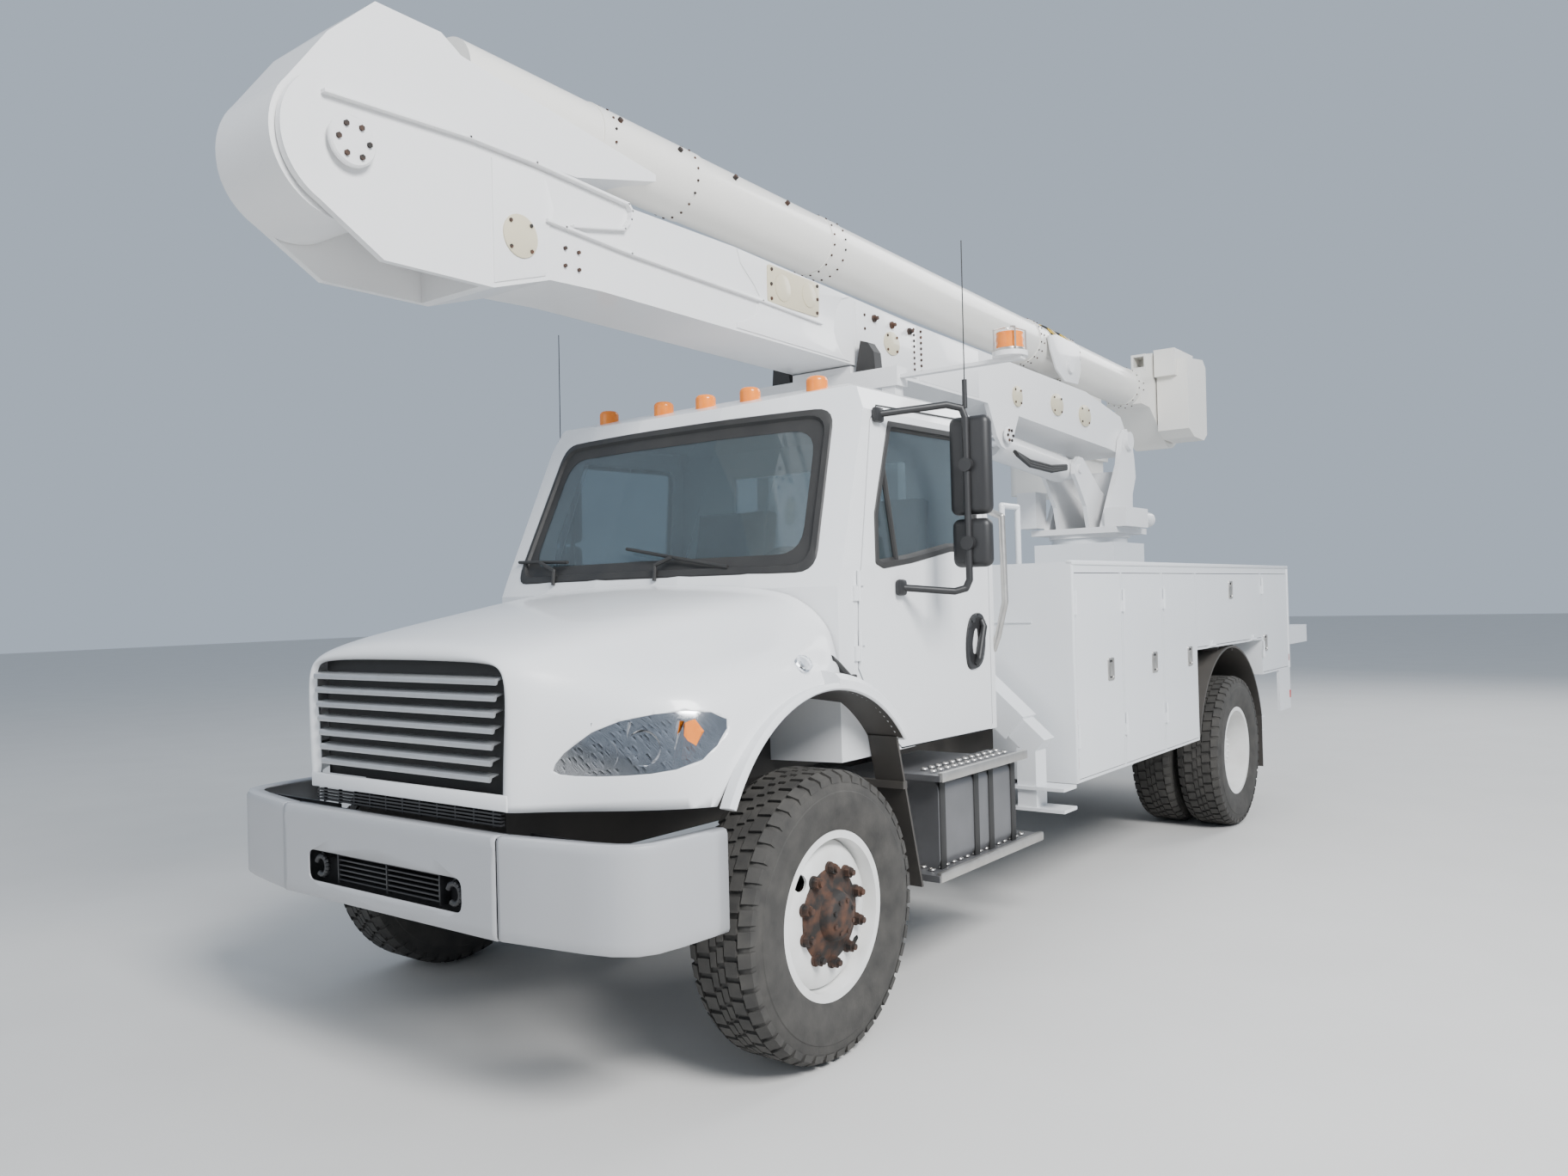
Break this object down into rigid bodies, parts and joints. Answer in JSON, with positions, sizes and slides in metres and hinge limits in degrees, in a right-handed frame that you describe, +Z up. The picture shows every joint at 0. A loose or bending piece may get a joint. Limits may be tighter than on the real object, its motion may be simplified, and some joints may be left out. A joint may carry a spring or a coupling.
{
  "type": "cherry picker truck",
  "caption": "Two-axle utility truck with service-body lockers, four outriggers and a folding two-boom aerial device that carries a work platform.",
  "frame": {"origin": "on the ground under the middle of the whole machine, booms included", "axes": "+X towards the driver's left side, +Y towards the tail, +Z up; the wheels stand on Z = 0"},
  "size_m": [2.7, 8.5718, 3.7859],
  "materials": {
    "white": "gloss",
    "white_plastic": "gloss",
    "chassis_black": "satin",
    "cast": "rough",
    "tyre": "matte",
    "wheel_white": "satin",
    "chrome": "polished",
    "glass": "clear",
    "lamp_glass": "clear",
    "amber": "gloss",
    "grey_plastic": "matte",
    "black_plastic": "matte",
    "rubber": "matte",
    "aluminium": "satin"
  },
  "bodies": {
    "chassis": {"frame": "chassis_black", "engine": "cast", "front_axle": "chassis_black", "rear_axle": "chassis_black", "bumper": "white", "cab": "white", "cab_glass": "glass", "cab_interior": "grey_plastic", "roof_lamps": "amber", "body_left": "white", "body_right": "white", "subframe": "white", "bed": "white", "fenders": "rubber", "boom_rest": "chassis_black", "rest_horns": "rubber", "fuel_tank": "aluminium", "battery_box": "black_plastic"},
    "knuckle_left": {"knuckle_left": "cast"},
    "wheel_front_left": {"tyre_front_left": "tyre", "rim_front_left": "wheel_white"},
    "wheel_rear_left": {"tyre_rear_left": "tyre", "rim_rear_left": "wheel_white"},
    "cab_door_left": {"cab_door_left": "white", "door_glass_left": "glass", "mirror_left": "chassis_black"},
    "knuckle_right": {"knuckle_right": "cast"},
    "wheel_front_right": {"tyre_front_right": "tyre", "rim_front_right": "wheel_white"},
    "wheel_rear_right": {"tyre_rear_right": "tyre", "rim_rear_right": "wheel_white"},
    "cab_door_right": {"cab_door_right": "white", "door_glass_right": "glass", "mirror_right": "chassis_black"},
    "hood": {"hood": "white_plastic", "headlamps": "lamp_glass", "grille": "chrome"},
    "door_left_1": {"door_left_1": "white"},
    "door_left_2": {"door_left_2": "white"},
    "door_left_3": {"door_left_3": "white"},
    "door_left_4": {"door_left_4": "white"},
    "door_left_5": {"door_left_5": "white"},
    "door_right_1": {"door_right_1": "white"},
    "door_right_2": {"door_right_2": "white"},
    "door_right_3": {"door_right_3": "white"},
    "door_right_4": {"door_right_4": "white"},
    "door_right_5": {"door_right_5": "white"},
    "leg_front_left": {"leg_front_left": "white"},
    "leg_front_right": {"leg_front_right": "white"},
    "leg_rear_left": {"leg_rear_left": "white"},
    "leg_rear_right": {"leg_rear_right": "white"},
    "turret": {"turret": "white"},
    "lower_boom": {"lower_boom": "white"},
    "lift_barrel": {"lift_barrel": "white"},
    "lift_rod": {"lift_rod": "chrome"},
    "upper_boom": {"upper_housing": "white", "upper_tube": "white_plastic"},
    "level_shaft": {"level_shaft": "chrome"},
    "platform": {"tip_head": "white_plastic", "bucket": "white_plastic"}
  },
  "joints": [
    {"name": "steering_left", "type": "hinge", "parent": "chassis", "child": "knuckle_left", "pos_m": [0.9, -2.793, 0.517], "axis": [0, 0, 1], "range_deg": [-32, 32]},
    {"name": "wheel_front_left_spin", "type": "hinge", "parent": "knuckle_left", "child": "wheel_front_left", "pos_m": [1.064, -2.793, 0.517], "axis": [1, 0, 0], "continuous": true},
    {"name": "wheel_rear_left_spin", "type": "hinge", "parent": "chassis", "child": "wheel_rear_left", "pos_m": [0.913, 2.133, 0.517], "axis": [1, 0, 0], "continuous": true},
    {"name": "steering_right", "type": "hinge", "parent": "chassis", "child": "knuckle_right", "pos_m": [-0.9, -2.793, 0.517], "axis": [0, 0, 1], "range_deg": [-32, 32]},
    {"name": "wheel_front_right_spin", "type": "hinge", "parent": "knuckle_right", "child": "wheel_front_right", "pos_m": [-1.064, -2.793, 0.517], "axis": [1, 0, 0], "continuous": true},
    {"name": "wheel_rear_right_spin", "type": "hinge", "parent": "chassis", "child": "wheel_rear_right", "pos_m": [-0.913, 2.133, 0.517], "axis": [1, 0, 0], "continuous": true},
    {"name": "hood_tilt", "type": "hinge", "parent": "chassis", "child": "hood", "pos_m": [0, -3.758, 0.945], "axis": [1, 0, 0], "range_deg": [0, 65]},
    {"name": "cab_door_left_hinge", "type": "hinge", "parent": "chassis", "child": "cab_door_left", "pos_m": [1.019, -2.332, 1.4], "axis": [0, 0, -1], "range_deg": [0, 50]},
    {"name": "cab_door_right_hinge", "type": "hinge", "parent": "chassis", "child": "cab_door_right", "pos_m": [-1.019, -2.332, 1.4], "axis": [0, 0, 1], "range_deg": [0, 50]},
    {"name": "door_left_1_hinge", "type": "hinge", "parent": "chassis", "child": "door_left_1", "pos_m": [1.228, -0.679, 0.708], "axis": [0, 0, -1], "range_deg": [0, 90]},
    {"name": "door_left_2_hinge", "type": "hinge", "parent": "chassis", "child": "door_left_2", "pos_m": [1.228, -0.024, 0.708], "axis": [0, 0, -1], "range_deg": [0, 90]},
    {"name": "door_left_3_hinge", "type": "hinge", "parent": "chassis", "child": "door_left_3", "pos_m": [1.228, 0.626, 0.708], "axis": [0, 0, -1], "range_deg": [0, 90]},
    {"name": "door_left_4_hinge", "type": "hinge", "parent": "chassis", "child": "door_left_4", "pos_m": [1.228, 1.255, 1.276], "axis": [0, 1, 0], "range_deg": [0, 90]},
    {"name": "door_left_5_hinge", "type": "hinge", "parent": "chassis", "child": "door_left_5", "pos_m": [1.228, 2.761, 1.022], "axis": [0, 0, -1], "range_deg": [0, 90]},
    {"name": "door_right_1_hinge", "type": "hinge", "parent": "chassis", "child": "door_right_1", "pos_m": [-1.228, -0.679, 0.708], "axis": [0, 0, 1], "range_deg": [0, 90]},
    {"name": "door_right_2_hinge", "type": "hinge", "parent": "chassis", "child": "door_right_2", "pos_m": [-1.228, -0.024, 0.708], "axis": [0, 0, 1], "range_deg": [0, 90]},
    {"name": "door_right_3_hinge", "type": "hinge", "parent": "chassis", "child": "door_right_3", "pos_m": [-1.228, 0.626, 0.708], "axis": [0, 0, 1], "range_deg": [0, 90]},
    {"name": "door_right_4_hinge", "type": "hinge", "parent": "chassis", "child": "door_right_4", "pos_m": [-1.228, 1.255, 1.276], "axis": [0, -1, 0], "range_deg": [0, 90]},
    {"name": "door_right_5_hinge", "type": "hinge", "parent": "chassis", "child": "door_right_5", "pos_m": [-1.228, 2.761, 1.022], "axis": [0, 0, 1], "range_deg": [0, 90]},
    {"name": "leg_front_left_slide", "type": "slide", "parent": "chassis", "child": "leg_front_left", "axis": [0.7515, 0, -0.6597], "range_m": [0, 0.88]},
    {"name": "leg_front_right_slide", "type": "slide", "parent": "chassis", "child": "leg_front_right", "axis": [-0.7515, 0, -0.6597], "range_m": [0, 0.88]},
    {"name": "leg_rear_left_slide", "type": "slide", "parent": "chassis", "child": "leg_rear_left", "axis": [0.656, 0, -0.7548], "range_m": [0, 0.73]},
    {"name": "leg_rear_right_slide", "type": "slide", "parent": "chassis", "child": "leg_rear_right", "axis": [-0.656, 0, -0.7548], "range_m": [0, 0.73]},
    {"name": "turret_swing", "type": "hinge", "parent": "chassis", "child": "turret", "pos_m": [0, 2.52, 2.062], "axis": [0, 0, 1], "continuous": true},
    {"name": "lower_boom_lift", "type": "hinge", "parent": "turret", "child": "lower_boom", "pos_m": [0, 2.74, 2.835], "axis": [-1, 0, 0], "range_deg": [0, 30]},
    {"name": "lift_barrel_hinge", "type": "hinge", "parent": "turret", "child": "lift_barrel", "pos_m": [0, 2.034, 2.573], "axis": [-1, 0, 0], "range_deg": [0, 41]},
    {"name": "lift_rod_slide", "type": "slide", "parent": "lift_barrel", "child": "lift_rod", "axis": [0, -0.9969, 0.0788], "range_m": [0, 0.28]},
    {"name": "upper_boom_fold", "type": "hinge", "parent": "lower_boom", "child": "upper_boom", "pos_m": [0, -4.037, 3.176], "axis": [1, 0, 0], "range_deg": [0, 190]},
    {"name": "level_shaft_turn", "type": "hinge", "parent": "upper_boom", "child": "level_shaft", "pos_m": [0, 4.03, 3.2], "axis": [1, 0, 0], "range_deg": [-190, 0]},
    {"name": "platform_level", "type": "hinge", "parent": "level_shaft", "child": "platform", "pos_m": [0, 4.03, 3.2], "axis": [1, 0, 0], "range_deg": [0, 30]}
  ],
  "couplings": [
    {"joint": "steering_right", "follows": "steering_left", "ratio": 1},
    {"joint": "lift_barrel_hinge", "follows": "lower_boom_lift", "ratio": 1.3512},
    {"joint": "lift_rod_slide", "follows": "lower_boom_lift", "m_per_rad": 0.53},
    {"joint": "level_shaft_turn", "follows": "upper_boom_fold", "ratio": -1},
    {"joint": "platform_level", "follows": "lower_boom_lift", "ratio": 1}
  ]
}
